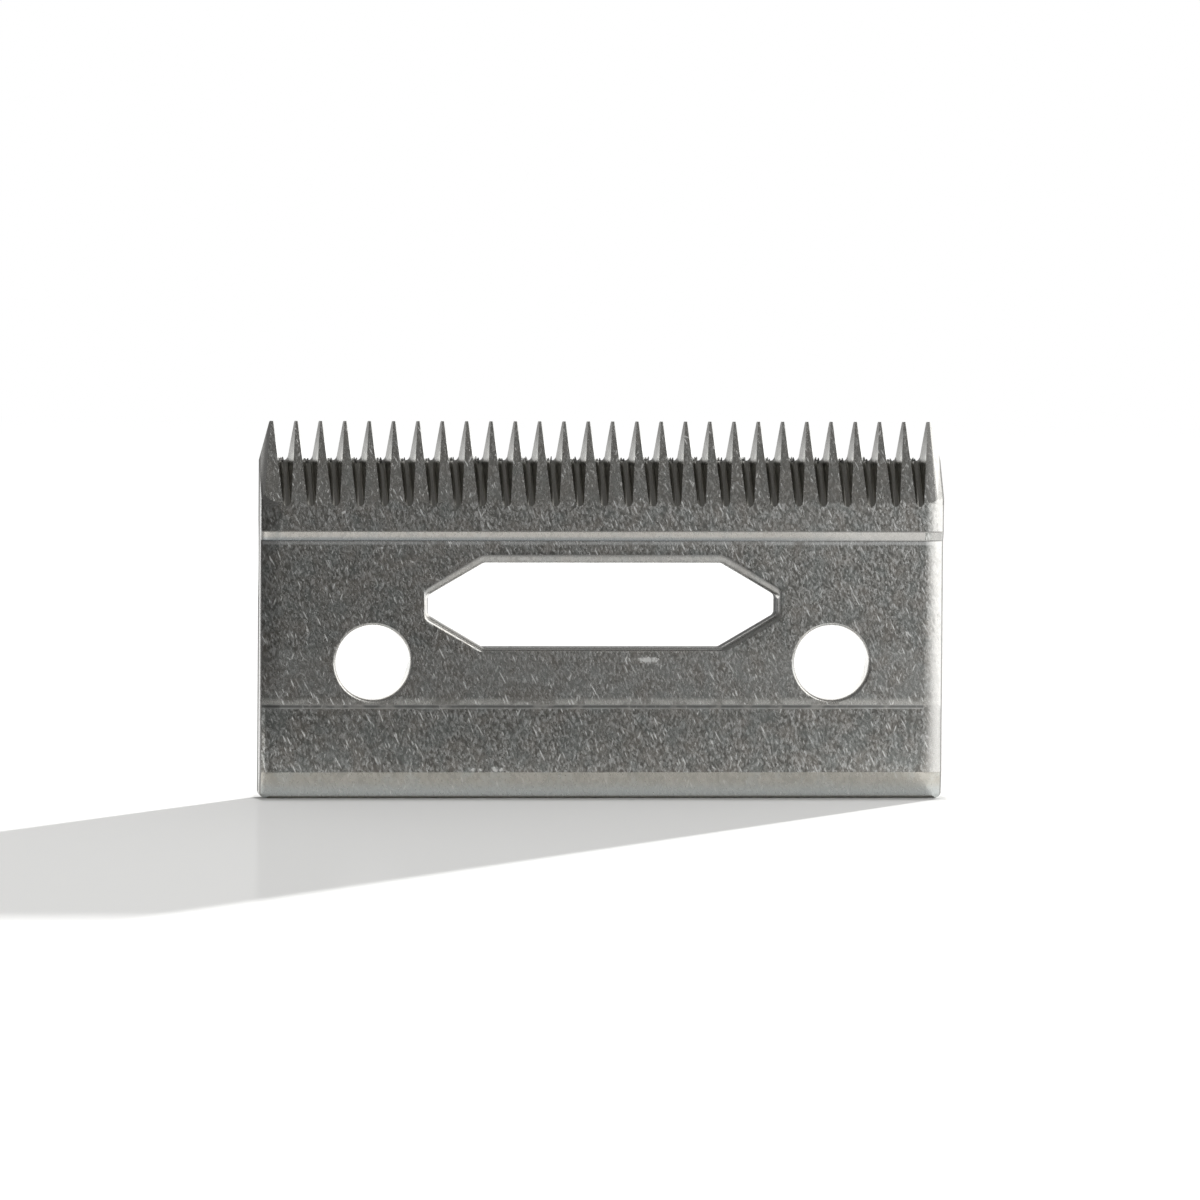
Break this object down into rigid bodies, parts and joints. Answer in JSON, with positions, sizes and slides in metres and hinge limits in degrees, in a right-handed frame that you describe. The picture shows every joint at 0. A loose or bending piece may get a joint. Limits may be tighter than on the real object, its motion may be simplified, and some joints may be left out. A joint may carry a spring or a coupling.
{
  "type": "hair clipper blade",
  "caption": "Flat steel still blade of a hair clipper: ground tapered teeth along the front edge, a long hexagonal window behind them and round screw holes near the rear edge.",
  "frame": {"origin": "middle of the blade's box on the plane of its rear edge, on which it stands", "axes": "+X along the row of teeth, +Z from the rear edge to the tooth tips, +Y out of the inner face, on which the cutter runs"},
  "size_m": [0.046, 0.0024, 0.0252],
  "materials": {
    "tumbled_steel": "tumbled and ground, fine satin with small nicks"
  },
  "bodies": {
    "root": {"still_blade": "tumbled_steel"}
  },
  "joints": []
}
